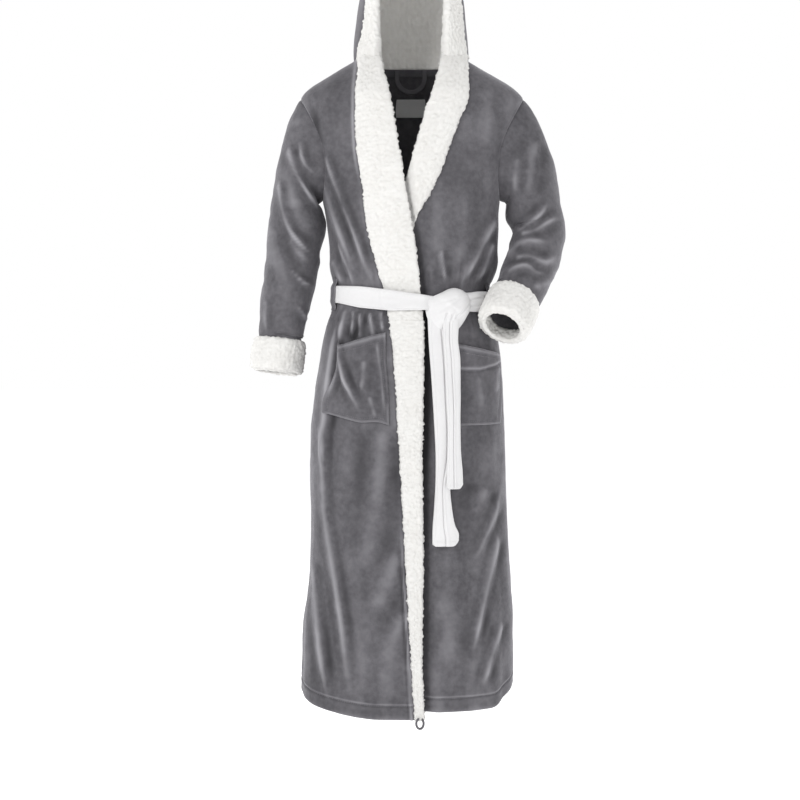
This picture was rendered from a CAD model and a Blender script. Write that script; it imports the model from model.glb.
"""A hooded wrap bathrobe, as its cloth looks on a standing wearer.

The frame is the robe's own: the origin is the middle of the shoulder seat, +X is the wearer's
left, -Y is the front and +Z is up.  Lengths are in metres and angles in degrees; the tables of
shapes and folds are written in millimetres and turned into metres where they stand.

The body cloth is laid out on level rings.  A place on a ring is an angle that starts at the front
centre, reaches 90 at the wearer's left side, 180 at the back and 270 (or -90) at the right side.
"""

import itertools
import math

import bpy
import numpy as np
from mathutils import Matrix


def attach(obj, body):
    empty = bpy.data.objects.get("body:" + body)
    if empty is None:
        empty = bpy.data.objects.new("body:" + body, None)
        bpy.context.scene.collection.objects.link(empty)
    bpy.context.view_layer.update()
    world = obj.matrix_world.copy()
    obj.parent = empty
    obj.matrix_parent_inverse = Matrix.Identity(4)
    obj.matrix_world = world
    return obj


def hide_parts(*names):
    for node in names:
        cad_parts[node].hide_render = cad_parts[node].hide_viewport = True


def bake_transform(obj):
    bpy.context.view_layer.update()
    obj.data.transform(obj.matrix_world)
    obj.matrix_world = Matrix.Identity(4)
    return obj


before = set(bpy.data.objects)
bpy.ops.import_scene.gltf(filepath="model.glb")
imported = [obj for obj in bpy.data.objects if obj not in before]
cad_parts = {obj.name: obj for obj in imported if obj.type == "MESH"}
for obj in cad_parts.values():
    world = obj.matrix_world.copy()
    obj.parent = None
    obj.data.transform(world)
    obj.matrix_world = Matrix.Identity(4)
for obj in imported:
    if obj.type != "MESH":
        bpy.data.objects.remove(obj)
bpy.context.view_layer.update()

# -------- shape of the body, as in the CAD


def in_metres(value):
    """Metres from a number or a nested table of millimetres."""
    return tuple(map(in_metres, value)) if isinstance(value, tuple) else value / 1000.0


# Height, half width on the right, half width on the left, front depth, back depth
BODY_RINGS = np.array((
    (0, 122, 122, 70, 100),
    (-30, 172, 172, 92, 114),
    (-60, 218, 220, 108, 124),
    (-85, 234, 238, 118, 130),
    (-200, 205, 207, 132, 136),
    (-300, 186, 187, 132, 130),
    (-410, 171, 180, 125, 114),
    (-497, 164, 164, 118, 104),
    (-560, 182, 180, 128, 120),
    (-640, 196, 190, 138, 136),
    (-770, 213, 195, 148, 148),
    (-970, 217, 200, 156, 160),
    (-1100, 223, 208, 162, 168),
    (-1190, 235, 213, 166, 172),
    (-1370, 241, 212, 173, 180),
)) / 1000.0
RING_POWER = 2.0 / 2.5

# Band on the over front: height, outer edge, free edge
OVER_BAND = np.array((
    (0, -107, -66),
    (-90, -113, -44),
    (-195, -110, -26),
    (-270, -98, -14),
    (-340, -91, -2),
    (-417, -74, 10),
    (-475, -58, 17),
    (-585, -39, 24.5),
    (-825, -22.5, 21),
    (-1040, -11, 23),
    (-1250, 1, 21.5),
    (-1370, 8, 26),
)) / 1000.0

# Band on the under front: height, free edge, outer edge
UNDER_BAND = np.array((
    (0, 64, 114.5),
    (-32, 56.5, 116),
    (-66, 47, 117),
    (-100, 35, 113),
    (-135, 24.5, 97),
    (-180, 11.5, 79),
    (-236, -5, 59.7),
    (-284, -22, 37),
    (-340, -45, 8),
    (-500, -85, -30),
    (-700, -95, -40),
    (-1370, -105, -50),
)) / 1000.0

NECK_Z = -0.0015
BAND_TOP = 0.0085
BELT_MIDDLE = -0.4965
WAIST_SPLIT = -0.546
HEM_BACK = -1.342
HEM_UNDER = -1.347
HEM_OVER = -1.362
HEM_DEEP = 0.026
ARMHOLE_MIDDLE = -0.185
ARMHOLE_HALF_HEIGHT = 0.105
ARMHOLE_REACH = 30.0
UNDER_RECESS = 0.0165
RECESS_FADE = 0.03
PLUSH_THICK = 0.0045
BAND_THICK = 0.0085
BAND_GAP = 0.0009
BAND_UNDER_THICK = 0.0038
TUFT_HEIGHT = 0.0026
TUFT_CELL = 0.0062
ROW_STEP = 0.0048

# Sleeve rings: distance out from the middle, depth place, height, half width, half depth
RIGHT_SLEEVE = np.array((
    (243, 0, -335, 56, 75),
    (250, 0, -410, 56.5, 70),
    (264, -5, -503, 53, 64),
    (277, -10, -575, 48.5, 57),
    (277.5, -11, -586, 45.5, 55),
    (282, -14, -620, 45.5, 54),
    (286.5, -17, -652, 45.5, 54),
)) / 1000.0
LEFT_SLEEVE = np.array((
    (257, 0, -305, 62, 75),
    (270, 0, -350, 57, 70),
    (262, -25, -405, 56, 64),
    (240, -62, -457, 54, 58),
    (222, -93, -492, 50, 54),
    (216.5, -99, -500, 46.2, 51),
    (201, -119, -529, 45.5, 50),
    (187, -141, -558, 45.5, 49),
)) / 1000.0

# Folds: height, width of the crest, and the points that it runs through as (x, z)
BODY_FOLDS = in_metres((
    (5.5, 9, ((-224, -88), (-214, -146), (-202, -210), (-177, -284), (-158, -339), (-130, -411),
     (-109, -469))),
    (4.5, 7, ((-183, -195), (-154, -277), (-121, -360), (-97, -426), (-80, -475))),
    (4.5, 6, ((-152, -380), (-133, -430), (-119, -472))),
    (4, 6, ((-163, -417), (-152, -445), (-142, -472))),
    (6, 7, ((-136, -522), (-144, -557), (-152, -600))),
    (5.5, 5.5, ((-121, -524), (-121, -590))),
    (5, 5.5, ((-106, -526), (-107, -586))),
    (5, 5.5, ((-86, -528), (-84, -545), (-78, -582))),
    (4.5, 5.5, ((-62, -526), (-62, -541), (-58, -572))),
    (6.5, 9, ((-150, -520), (-160, -586), (-171, -668), (-179, -751), (-185, -792), (-181, -940),
     (-160, -1065), (-144, -1170), (-132, -1275), (-115, -1340))),
    (6, 9, ((-212, -1037), (-197, -1150), (-185, -1255), (-169, -1350))),
    (5, 8, ((177, -329), (158, -370), (142, -401), (105, -467))),
    (4.5, 7, ((171, -380), (152, -432), (134, -469))),
    (4, 6, ((60, -400), (66, -440), (70, -472))),
    (4.5, 8, ((189, -879), (178, -937), (147, -1008), (125, -1049))),
    (5, 8, ((183, -983), (168, -1058), (151, -1124), (134, -1199), (126, -1240))),
    (5, 8, ((189, -1170), (181, -1200), (165, -1245), (147, -1305))),
    (5, 7, ((-181, -770), (-182, -810), (-180, -858))),
    (4.5, 15, ((155, -890), (143, -915), (124, -950))),
    (5, 19, ((-62, -755), (-66, -871), (-82, -990), (-94, -1060))),
    (5, 17, ((-29, -1020), (-53, -1094), (-74, -1145))),
    (4.5, 16, ((-12, -1140), (-37, -1203), (-46, -1250))),
    (4, 20, ((60, -1100), (78, -1180), (72, -1270))),
    (4.5, 18, ((-170, -500), (-187, -640), (-198, -800), (-203, -930))),
))
RIGHT_SLEEVE_FOLDS = in_metres((
    (5.2, 8, ((-277, -246), (-268, -314), (-254, -355), (-222, -397), (-191, -414))),
    (5.2, 8, ((-256, -178), (-251, -207), (-241, -236), (-221, -272), (-203, -304), (-195, -332))),
    (4, 7, ((-233, -170), (-228, -203), (-217, -227), (-195, -244))),
    (3.8, 10, ((-256, -377), (-234, -406), (-208, -430))),
    (4.2, 6, ((-252, -438), (-230, -462), (-200, -479))),
    (4.2, 6, ((-238, -515), (-226, -535), (-215, -553))),
    (3.2, 6, ((-304, -500), (-305, -535), (-303, -575))),
    (4.5, 18, ((-262, -215), (-250, -280), (-235, -330), (-226, -380))),
    (4.2, 17, ((-296, -330), (-290, -390), (-268, -450), (-255, -520))),
))
LEFT_SLEEVE_FOLDS = in_metres((
    (4.8, 9, ((225, -361), (245, -342), (269, -325), (289, -296))),
    (4.6, 9, ((226, -368), (257, -358), (277, -346), (298, -334), (318, -333))),
    (4.6, 9, ((198, -414), (213, -398), (233, -383), (263, -382), (290, -388))),
    (4.6, 9, ((212, -416), (245, -414), (277, -426), (310, -406))),
    (4.6, 8, ((196, -450), (213, -438), (237, -434), (257, -446), (281, -451))),
    (4.2, 14, ((261, -168), (251, -208), (245, -248), (241, -290))),
    (3.6, 10, ((222, -205), (216, -248), (219, -290))),
    (3.4, 10, ((250, -478), (272, -472), (290, -462))),
))


def four_rows(table, row):
    """The rows of a table round the step after a row, as far as there are any."""
    return (table[np.clip(row + ahead, 0, len(table) - 1)] for ahead in (-1, 0, 1, 2))


def along(table, height, column):
    """Value of a table's column at each height, on a smooth curve through its rows."""
    height = np.asarray(height, float)
    row = np.clip(np.searchsorted(-table[:, 0], -height, side="left") - 1, 0, len(table) - 2)
    before, start, end, after = four_rows(table, row)
    span = end[..., 0] - start[..., 0]
    part = np.clip((height - start[..., 0]) / span, 0.0, 1.0)
    rise_start = (end[..., column] - before[..., column]) / (end[..., 0] - before[..., 0]) * span
    rise_end = (after[..., column] - start[..., column]) / (after[..., 0] - start[..., 0]) * span
    square, cube = part * part, part * part * part
    return (start[..., column] * (2.0 * cube - 3.0 * square + 1.0)
            + rise_start * (cube - 2.0 * square + part)
            + end[..., column] * (3.0 * square - 2.0 * cube)
            + rise_end * (cube - square))


def soft_step(value):
    """0 below 0, 1 above 1 and a smooth rise between them."""
    part = np.clip(value, 0.0, 1.0)
    return part * part * (3.0 - 2.0 * part)


def bump(value, width, power=2):
    """1 at 0, falling off smoothly on both sides as far as the width."""
    return np.exp(-(value / width) ** power)


def spots(x, y, z):
    """Places from their coordinates."""
    return np.stack(np.broadcast_arrays(x, y, z), axis=-1)


def unit(ways):
    return ways / np.maximum(np.linalg.norm(ways, axis=-1, keepdims=True), 1e-12)


def gone_along(line):
    """Length of a line up to each of its points."""
    return np.concatenate(((0.0,), np.cumsum(np.linalg.norm(np.diff(line, axis=0), axis=1))))


def turned(normal, away):
    """Normals, turned over if most of them point against the given ways."""
    return -normal if np.sum(normal * away) < 0.0 else normal


def ring_points(height, angle, out=0.0):
    """Points of the body's surface, moved outwards by out."""
    height, angle = np.broadcast_arrays(np.asarray(height, float), np.asarray(angle, float))
    side = np.sin(np.radians(angle))
    front = np.cos(np.radians(angle))
    half = np.where(side > 0.0, along(BODY_RINGS, height, 2), along(BODY_RINGS, height, 1)) + out
    depth = np.where(front > 0.0, along(BODY_RINGS, height, 3), along(BODY_RINGS, height, 4)) + out
    x = np.sign(side) * half * np.abs(side) ** RING_POWER
    y = -np.sign(front) * depth * np.abs(front) ** RING_POWER
    return spots(x, y, height)


def ring_angle(height, x):
    """Angle of the place on the front of a ring that lies at a distance x to the left."""
    half = np.where(np.asarray(x) > 0.0, along(BODY_RINGS, height, 2), along(BODY_RINGS, height, 1))
    sine = np.minimum(np.abs(x) / half, 1.0) ** (1.0 / RING_POWER)
    return np.sign(x) * np.degrees(np.arcsin(sine))


def armhole_reach(height):
    place = (np.asarray(height) - ARMHOLE_MIDDLE) / ARMHOLE_HALF_HEIGHT
    return ARMHOLE_REACH * np.sqrt(np.maximum(1.0 - place * place, 0.0))


def from_front(angle):
    """Degrees from 0 to 180 between an angle and the front."""
    return np.abs((np.asarray(angle) + 180.0) % 360.0 - 180.0)


def hem_rise(height, angle):
    """How much higher the hem hangs at the sides than in front."""
    turn = from_front(angle)
    right = 0.04 * np.clip((turn - 14.0) / 76.0, 0.0, 1.0) ** 1.15
    left = 0.036 * soft_step((turn - 48.0) / 42.0)
    rise = np.where(np.sin(np.radians(angle)) < 0.0, right, left)
    rise = rise * (1.0 - 0.8 * soft_step((turn - 90.0) / 70.0))
    return rise * soft_step((-1.05 - np.asarray(height)) / 0.31)


def under_recess(points):
    """How far inwards the under front lies, all of it behind the over front's free edge."""
    past_edge = points[..., 0] - along(OVER_BAND, points[..., 2], 2)
    return UNDER_RECESS * (1.0 - soft_step(past_edge / RECESS_FADE))


# -------- noise


def hashed(i, j, k, seed):
    """A repeatable number from 0 to 1 for each lattice place."""
    n = (i * 374761393 + j * 668265263 + k * 1442695041 + seed * 1274126177) & 0xFFFFFFFF
    n = ((n ^ (n >> 13)) * 1274126177) & 0xFFFFFFFF
    n = ((n ^ (n >> 15)) * 2246822519) & 0xFFFFFFFF
    return ((n ^ (n >> 16)) & 0xFFFF) / 65535.0


def noise(points, cell, seed):
    """Smooth noise from -1 to 1; cell is its size in metres, or one size for each axis."""
    place = points / np.asarray(cell, float)
    low = np.floor(place).astype(np.int64)
    part = soft_step(place - low)
    total = np.zeros(points.shape[:-1])
    for corner in range(8):
        step = np.array((corner & 1, corner >> 1 & 1, corner >> 2 & 1))
        weight = np.prod(np.where(step, part, 1.0 - part), axis=-1)
        at = low + step
        total += weight * hashed(at[..., 0], at[..., 1], at[..., 2], seed)
    return 2.0 * total - 1.0


def tufts(points, cell, seed):
    """Distance to the nearest tuft, as a share of the cell, and the tuft's own number from 0 to 1."""
    place = points / cell
    low = np.floor(place).astype(np.int64)
    nearest = np.full(points.shape[:-1], 9.0)
    number = np.zeros(points.shape[:-1])
    for step in itertools.product((-1, 0, 1), repeat=3):
        at = low + np.array(step)
        keys = (at[..., 0], at[..., 1], at[..., 2])
        seedling = np.stack([hashed(*keys, seed + n) for n in range(3)], axis=-1)
        away = np.linalg.norm(at + 0.1 + 0.8 * seedling - place, axis=-1)
        closer = away < nearest
        nearest = np.where(closer, away, nearest)
        number = np.where(closer, hashed(*keys, seed + 3), number)
    return nearest, number


# -------- grids of points


def normals_of(grid, closed=False):
    """Unit normals of a grid of points; closed grids join their last column to their first."""
    if closed:
        wide = np.concatenate((grid[:, -1:], grid, grid[:, :1]), axis=1)
        across = (wide[:, 2:] - wide[:, :-2]) / 2.0
    else:
        across = np.gradient(grid, axis=1)
    down = np.gradient(grid, axis=0)
    return unit(np.cross(across, down))


def outward(grid, closed=False):
    """Normals of a grid, turned so that most of them point away from the robe's inside."""
    away = grid - grid.reshape(-1, 3).mean(axis=0) if closed else grid * (1.0, 1.0, 0.0)
    return turned(normals_of(grid, closed), away)


# Folds narrower than this have a sharp light line, and folds this high are lit fully
KEEN_WIDTH = 0.0085
BRIGHT_HEIGHT = 0.0045


def fold_relief(x, z, folds, lean=0.35):
    """Height of the folds at places on the front, and how much each place is a crest."""
    relief = np.zeros(x.shape)
    crest = np.zeros(x.shape)
    dark = np.zeros(x.shape)
    for height, width, points in folds:
        line = np.array(points)
        if len(line) > 2:
            line = spline_rows(line, np.linspace(0.0, len(line) - 1.0, 3 * len(line) - 2))
        steps = np.linalg.norm(np.diff(line, axis=0), axis=1)
        full = steps.sum()
        reach = np.full(x.shape, 1e9)
        side = np.zeros(x.shape)
        share = np.zeros(x.shape)
        gone = 0.0
        for start, end, step in zip(line, line[1:], steps):
            ahead = (end - start) / step
            local = (x - start[0]) * ahead[0] + (z - start[1]) * ahead[1]
            part = np.clip(local, 0.0, step)
            dx = x - start[0] - part * ahead[0]
            dz = z - start[1] - part * ahead[1]
            away = np.hypot(dx, dz)
            closer = away < reach
            reach = np.where(closer, away, reach)
            side = np.where(closer, np.sign(ahead[0] * dz - ahead[1] * dx) * away, side)
            share = np.where(closer, (gone + part) / full, share)
            gone += step
        ends = soft_step(share / 0.12) * soft_step((1.0 - share) / 0.28)
        ends = ends * (0.8 + 0.3 * np.sin(9.0 * share + 40.0 * height / width + 3.0 * full))
        ridge = bump(reach, width)
        valley = bump(side - 1.7 * width, 1.1 * width)
        valley += 0.6 * bump(side + 1.9 * width, 1.2 * width)
        relief += height * ends * (ridge - lean * valley)
        keen = min(1.0, (KEEN_WIDTH / width) ** 3)
        lit = 0.8 * keen * bump(reach, 0.45 * width)
        lit += (0.42 - 0.12 * keen) * bump(reach, 1.2 * width)
        crest = np.maximum(crest, ends * lit * height / BRIGHT_HEIGHT)
        dark = np.maximum(dark, ends * valley * height / BRIGHT_HEIGHT)
    return relief, crest - 0.75 * dark * (1.0 - np.clip(crest, 0.0, 1.0))


def quads_of(index, wrap_rows=False, wrap_columns=False):
    """Faces of a grid of vertex numbers."""
    if wrap_rows:
        index = np.concatenate((index, index[:1]), axis=0)
    if wrap_columns:
        index = np.concatenate((index, index[:, :1]), axis=1)
    corners = (index[:-1, :-1], index[:-1, 1:], index[1:, 1:], index[1:, :-1])
    return np.stack([corner.ravel() for corner in corners], axis=1)


def enclosed(points, faces):
    """Signed volume inside a closed mesh of quads."""
    a, b, c, d = (points[faces[:, k]] for k in range(4))
    first = np.einsum("ij,ij->i", a, np.cross(b, c))
    second = np.einsum("ij,ij->i", a, np.cross(c, d))
    return (first.sum() + second.sum()) / 6.0


def shown(name, data, material=None):
    """A new object in the scene."""
    if material is not None:
        data.materials.append(material)
    item = bpy.data.objects.new(name, data)
    bpy.context.scene.collection.objects.link(item)
    return item


STITCH_PITCH = 0.0048
STITCH_LENGTH = 0.0032
STITCH_RADIUS = 0.0006
STITCH_LIFT = 0.3


def stitches(lines):
    """Small closed threads along lines, each one given as its points and its normals."""
    steps = STITCH_LENGTH * np.array((-0.5, -0.3, 0.3, 0.5))
    radii = STITCH_RADIUS * np.array((0.35, 1.0, 1.0, 0.35))
    turn = np.radians((0.0, 90.0, 180.0, 270.0))
    parts = []
    for line, normal in lines:
        gone = gone_along(line)
        places = np.arange(0.5 * STITCH_PITCH, gone[-1] - 0.5 * STITCH_PITCH, STITCH_PITCH)
        at, beyond, up = (np.stack([np.interp(places + ahead, gone, table[:, k]) for k in range(3)], axis=1)
                          for table, ahead in ((line, 0.0), (line, 0.001), (normal, 0.0)))
        along_it = unit(beyond - at)
        across = np.cross(up, along_it)
        ring = across[:, None] * np.cos(turn)[:, None] + up[:, None] * np.sin(turn)[:, None]
        parts.append(at[:, None, None] + along_it[:, None, None] * steps[:, None, None]
                     + ring[:, None] * radii[:, None, None]
                     + up[:, None, None] * STITCH_LIFT * STITCH_RADIUS)
    points = np.concatenate(parts).reshape(-1, 3)
    one = quads_of(np.arange(16).reshape(4, 4), wrap_columns=True)
    one = np.concatenate((one, ((3, 2, 1, 0), (12, 13, 14, 15))))
    if enclosed(points[:16], one) < 0.0:
        one = one[:, ::-1]
    faces = one[None] + 16 * np.arange(len(points) // 16)[:, None, None]
    return points, faces.reshape(-1, 4)


def add_mesh(name, points, faces, material, nap=None, seams=()):
    """Closed smooth mesh; nap says how much each point's pile is brushed towards the light."""
    if enclosed(points, faces) < 0.0:
        faces = faces[:, ::-1]
    if seams:
        threads, thread_faces = stitches(seams)
        faces = np.concatenate((faces, thread_faces + len(points)))
        points = np.concatenate((points, threads))
        if nap is not None:
            nap = np.concatenate((nap, np.full(len(threads), 0.3)))
    mesh = bpy.data.meshes.new(name)
    mesh.from_pydata(points.tolist(), [], faces.tolist())
    mesh.shade_smooth()
    if nap is not None:
        attribute = mesh.attributes.new("nap", "FLOAT", "POINT")
        attribute.data.foreach_set("value", np.ascontiguousarray(nap, np.float32))
    return shown(name, mesh, material)


def thick_cloth(name, outer, inner, material, nap=None, closed=False, ragged=0.0, blunt=(), seams=()):
    """Closed cloth between two grids of points, with rounded edges; blunt names rows cut square.

    Seams are pairs of indices that pick rows or columns of the outer grid to be stitched along.
    """
    middle = (outer + inner) / 2.0
    half = np.linalg.norm(outer - inner, axis=-1, keepdims=True) / 2.0
    sides = (0, 0) if closed else (1, 1)
    pads = ((1, 1), sides, (0, 0))
    edge = np.pad(middle, pads, mode="edge")
    past = unit(np.pad(middle, pads, mode="reflect", reflect_type="odd") - edge)
    bulge = np.pad(half, pads, mode="edge")
    for row in blunt:
        bulge[row] *= 0.03
    border = edge + past * bulge
    if ragged > 0.0:
        jag = noise(border, 0.0032, 91)[..., None] + 0.6 * noise(border, 0.0075, 92)[..., None]
        border = border + past * jag * ragged
    inside = np.zeros(border.shape[:2], bool)
    inside[1:-1, slice(None) if closed else slice(1, -1)] = True
    count = outer.shape[0] * outer.shape[1]
    rim = np.count_nonzero(~inside)
    front = np.zeros(inside.shape, np.int64)
    front[~inside] = np.arange(rim) + 2 * count
    back = front.copy()
    front[inside] = np.arange(count)
    back[inside] = np.arange(count) + count
    points = np.concatenate((outer.reshape(-1, 3), inner.reshape(-1, 3), border[~inside]))
    faces = np.concatenate((quads_of(front, wrap_columns=closed),
                            quads_of(back, wrap_columns=closed)[:, ::-1]))
    if nap is not None:
        edge_nap = np.pad(nap, pads[:2], mode="edge")[~inside]
        nap = np.concatenate((nap.ravel(), np.zeros(count), edge_nap))
    up = turned(normals_of(outer), outer - inner)
    return add_mesh(name, points, faces, material, nap, [(outer[seam], up[seam]) for seam in seams])


def ring_cloth(name, z, angle, out, thick, material, nap=None, seams=()):
    """Closed cloth whose outer face stands out from the body's rings."""
    outer, inner = ring_points(z, angle, out), ring_points(z, angle, out - thick)
    return thick_cloth(name, outer, inner, material, nap, seams=seams)


def ring_solid(name, grid, material, nap=None, seams=()):
    """Closed solid from loops that follow one another in a loop themselves; seams name loops."""
    index = np.arange(grid.shape[0] * grid.shape[1]).reshape(grid.shape[:2])
    faces = quads_of(index, wrap_rows=True, wrap_columns=True)
    up = outward(grid, closed=True)
    return add_mesh(name, grid.reshape(-1, 3), faces, material,
                    None if nap is None else nap.ravel(), [(grid[loop], up[loop]) for loop in seams])


def row_heights(top, bottom, step):
    """Heights of rows, closer together where the armhole's edge turns."""
    turns = np.linspace(0.0, np.pi, 46)
    curved = ARMHOLE_MIDDLE + ARMHOLE_HALF_HEIGHT * np.cos(turns)
    above = np.linspace(top, curved[0], max(int((top - curved[0]) / step), 1), endpoint=False)
    if bottom > curved[-1]:
        return np.concatenate((above, curved[curved > bottom]))
    below_count = int((curved[-1] - bottom) / step) + 2
    below = np.linspace(curved[-1], bottom, below_count)[1:]
    return np.concatenate((above, curved, below))


# -------- relief of the body cloth


LANE_REACH = 0.27


def body_relief(points, angle):
    """How far the body cloth stands out from its ring surface, and its nap."""
    x, y, z = points[..., 0], points[..., 1], points[..., 2]
    turn = np.radians(angle)
    front = np.cos(turn)
    around = np.where(front > 0.0, np.sin(turn), 2.0 * np.sign(np.sin(turn)) - np.sin(turn)) * LANE_REACH
    folds, crest = fold_relief(x, z, BODY_FOLDS)
    facing = soft_step((front - 0.06) / 0.35)
    relief = folds * facing
    nap = crest * facing
    # Long folds of the skirt, at the sides and the back
    low = soft_step((-0.56 - z) / 0.75)
    lanes = spots(around + 0.02 * noise(points, 0.35, 5), 0.0, z)
    deep = noise(lanes, (0.034, 1.0, 0.75), 11) + 0.35 * noise(lanes, (0.015, 1.0, 0.4), 12)
    rear = 1.0 - 0.86 * soft_step((front - 0.15) / 0.5)
    relief += (0.0015 + 0.008 * low) * deep * rear * soft_step((-0.53 - z) / 0.1)
    nap += (0.55 * np.maximum(deep, 0.0) ** 2 - 0.4 * np.maximum(-deep, 0.0) ** 2) * rear * low
    streaks = noise(spots(x, 0.6 * y, 0.22 * z), 0.026, 15)
    nap += 0.3 * streaks + 0.2 * noise(points, 0.052, 16) + 0.12 * noise(points, 0.019, 17)
    mouth = np.exp(-((x + 0.121) / 0.009) ** 2 - ((z + 0.577) / 0.013) ** 2)
    nap -= 1.5 * mouth * (front > 0.0)
    # Drape of the bodice
    slack = spots(around, 0.4 * z, z)
    drape = noise(slack, (0.055, 1.0, 0.16), 21) + 0.5 * noise(points, (0.035, 0.035, 0.06), 22)
    above = soft_step((z + 0.53) / 0.1) * soft_step((-0.03 - z) / 0.06)
    relief += 0.0026 * drape * above * (1.0 - 0.35 * facing)
    # Gathers that the belt presses into the cloth
    pleats = noise(lanes, (0.0105, 1.0, 0.085), 31) + 0.4 * noise(lanes, (0.006, 1.0, 0.05), 32)
    below = bump(z + 0.535, 0.045)
    over = bump(z + 0.455, 0.032)
    gather = (0.0034 * below + 0.0026 * over) * (1.0 - 0.45 * facing)
    relief += gather * pleats
    nap += 0.6 * np.maximum(pleats, 0.0) * (below + over) * (1.0 - 0.5 * facing)
    # The cloth hangs over the belt a little, and the belt presses it flat
    relief += 0.0045 * bump(z + 0.43, 0.026) * (1.0 - 0.4 * facing)
    pressed = soft_step((0.036 - np.abs(z - BELT_MIDDLE)) / 0.012)
    relief = relief * (1.0 - 0.85 * pressed) - 0.001 * pressed
    # Softness all over
    relief += 0.0009 * noise(points, 0.045, 41) + 0.0005 * noise(points, 0.016, 42)
    # Nothing moves at the neck and at the armholes
    from_side = np.abs(from_front(angle) - 90.0)
    oval = np.hypot(from_side / ARMHOLE_REACH, (z - ARMHOLE_MIDDLE) / ARMHOLE_HALF_HEIGHT)
    still = soft_step((oval - 1.0) / 0.35) * soft_step((-0.004 - z) / 0.03)
    relief *= still
    # Grooves of the side and shoulder seams and of the armhole
    relief -= 0.0014 * bump(0.0035 * from_side, 0.0022)
    relief -= 0.0012 * bump(oval - 1.0, 0.03)
    return relief, nap


def hem_line(z, hem):
    """Sunk line of the hem's stitching above the edge, and the nap beside it."""
    above = z - hem - HEM_DEEP
    sunk = bump(above, 0.0022)
    puff = bump(above + 0.006, 0.004) + 0.8 * bump(above - 0.005, 0.0035)
    edge = bump(z - hem, 0.004)
    lit = bump(above - 0.003, 0.0024)
    return 0.0006 * puff - 0.0011 * sunk, 0.62 * lit - 0.3 * sunk + 0.35 * edge


def with_hem_rows(rows, hem):
    """Rows with more of them along the hem's stitching."""
    close = hem + HEM_DEEP + np.linspace(-0.011, 0.011, 19)
    apart = rows[(rows > close[-1] + 0.0015) | (rows < close[0] - 0.0015)]
    return np.sort(np.concatenate((apart, close)))[::-1]


def cloth_patch(name, rows, stops, columns, hem, material, recess=False, blunt=()):
    """Panel of plush between edges at angles stops(height) = (first, last)."""
    if hem is not None:
        rows = with_hem_rows(rows, hem)
    z = rows[:, None] * np.ones((1, columns))
    first, last = stops(rows)
    share = np.linspace(0.0, 1.0, columns)[None, :]
    if not recess and first[0] != 90.0:
        share = 1.0 - (1.0 - share) ** 1.35
    angle = first[:, None] + (last - first)[:, None] * share
    rise = hem_rise(z, angle)
    z = z + rise
    flat = ring_points(z, angle)
    relief, nap = body_relief(flat, angle)
    band_edge = along(OVER_BAND, z, 1)
    front_side = np.cos(np.radians(angle)) > 0.0
    if recess:
        calm = 1.0 - 0.75 * under_recess(flat) / UNDER_RECESS
        relief = relief * calm - under_recess(flat)
        beside = flat[..., 0] - along(OVER_BAND, z, 2)
        shade = soft_step((-0.49 - z) / 0.05) * (0.3 + 0.7 * soft_step((z + 0.98) / 0.2))
        wide = 0.013 + 0.008 * soft_step((z + 1.04) / 0.12)
        nap = nap * calm - 1.5 * bump(np.maximum(beside, 0.0), wide, 3) * shade
    else:
        under = np.where(front_side, soft_step((flat[..., 0] - band_edge + 0.006) / 0.01), 0.0)
        upper = soft_step((z + 0.3) / 0.12)
        lower = soft_step((-0.95 - z) / 0.15)
        strip = flat[..., 0] - band_edge + 0.0065
        beside = np.where(front_side, bump(strip, 0.004 - 0.0012 * lower), 0.0)
        relief = relief * (1.0 - 0.85 * under) + (0.0012 + 0.0028 * (upper + lower)) * beside
        nap = nap * (1.0 - under) + (0.15 + 1.0 * upper + 1.2 * lower) * beside
        nap -= 0.6 * lower * front_side * bump(strip + 0.0055, 0.003)
    if hem is not None:
        line, line_nap = hem_line(z - rise, hem)
        relief += line
        nap = nap + line_nap
    normal = outward(ring_points(z, angle))
    outer = flat + normal * relief[..., None]
    inner = outer - outward(outer) * PLUSH_THICK
    seams = () if hem is None else ((int(np.argmin(np.abs(rows - hem - HEM_DEEP))), slice(None)),)
    return thick_cloth(name, outer, inner, material, nap, blunt=blunt, seams=seams)


def rolled_corner(material):
    """Corner of the over front's hem, curled up into a small loop."""
    turn = np.radians(np.linspace(100.0, 425.0, 44))[:, None]
    round_it = np.linspace(0.0, math.tau, 12, endpoint=False)[None, :]
    thick = 0.0023 * np.clip(np.minimum(turn - turn[0], turn[-1] - turn) / 0.2, 0.25, 1.0)
    x = 0.0165 + (0.0072 + thick * np.cos(round_it)) * np.cos(turn)
    z = HEM_OVER - 0.0065 + (0.0108 + thick * np.cos(round_it)) * np.sin(turn)
    angle = ring_angle(HEM_OVER, x)
    out = 0.0135 - 0.005 * (turn - turn[0]) / (turn[-1] - turn[0]) + 2.0 * thick * np.sin(round_it)
    points = ring_points(np.full(x.shape, HEM_OVER), angle, out)
    points[..., 2] = z
    index = np.arange(points.shape[0] * points.shape[1]).reshape(points.shape[:2])
    caps = [[row[k], row[k + 1], row[10 - k], row[11 - k]] for row in (index[0][::-1], index[-1])
            for k in range(5)]
    faces = np.concatenate((quads_of(index, wrap_columns=True), np.array(caps)))
    return add_mesh("rolled_corner", points.reshape(-1, 3), faces, material, np.full(index.size, 0.15))


def side_stop(side, towards_front, height):
    reach = armhole_reach(height)
    if towards_front:
        return side * (90.0 - reach)
    return 90.0 + reach if side > 0 else 270.0 - reach


def back_stops(height):
    return side_stop(1, False, height), side_stop(-1, False, height)


def over_stops(height):
    return side_stop(-1, True, height), ring_angle(height, along(OVER_BAND, height, 2) - 0.002)


def under_stops(height):
    return ring_angle(height, along(UNDER_BAND, height, 1)), side_stop(1, True, height)


# -------- bands of curled fleece


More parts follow.
